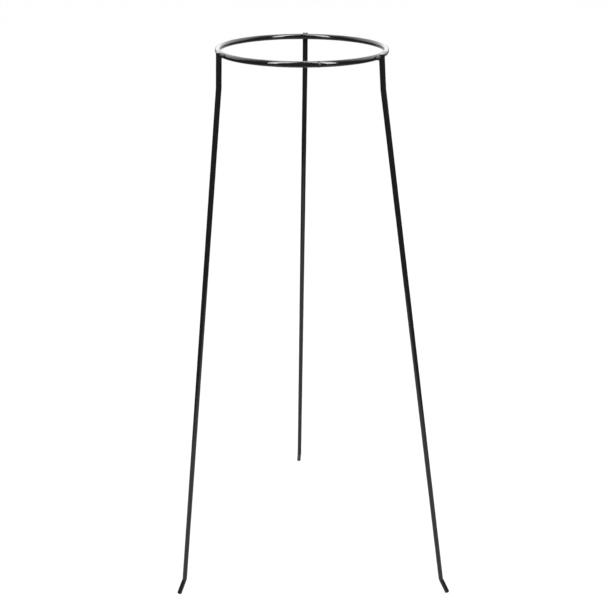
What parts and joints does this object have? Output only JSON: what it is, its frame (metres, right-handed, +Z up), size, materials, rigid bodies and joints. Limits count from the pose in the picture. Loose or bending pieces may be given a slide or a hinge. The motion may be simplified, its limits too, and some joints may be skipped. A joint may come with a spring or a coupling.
{
  "type": "tripod stand",
  "caption": "Open stand of welded round bar: a level ring carried on splayed legs, each bent in below the ring and turned outward into a short foot at the floor.",
  "frame": {"origin": "on the floor, directly below the centre of the ring", "axes": "+Z up along the ring's axis; -Y towards the front of the stand, the side between its left and right legs; the rear leg stands towards +Y and the right leg towards +X"},
  "size_m": [0.4021, 0.3194, 0.762],
  "materials": {
    "black_coating": "gloss black coating over steel bar, with pale reflections along its round sides",
    "coated_weld": "the same gloss black coating over rippled weld metal"
  },
  "bodies": {
    "root": {"top_ring": "black_coating", "ring_seam_weld": "coated_weld", "leg_left": "black_coating", "leg_right": "black_coating", "leg_rear": "black_coating", "weld_left": "coated_weld", "weld_right": "coated_weld", "weld_rear": "coated_weld"}
  },
  "joints": []
}
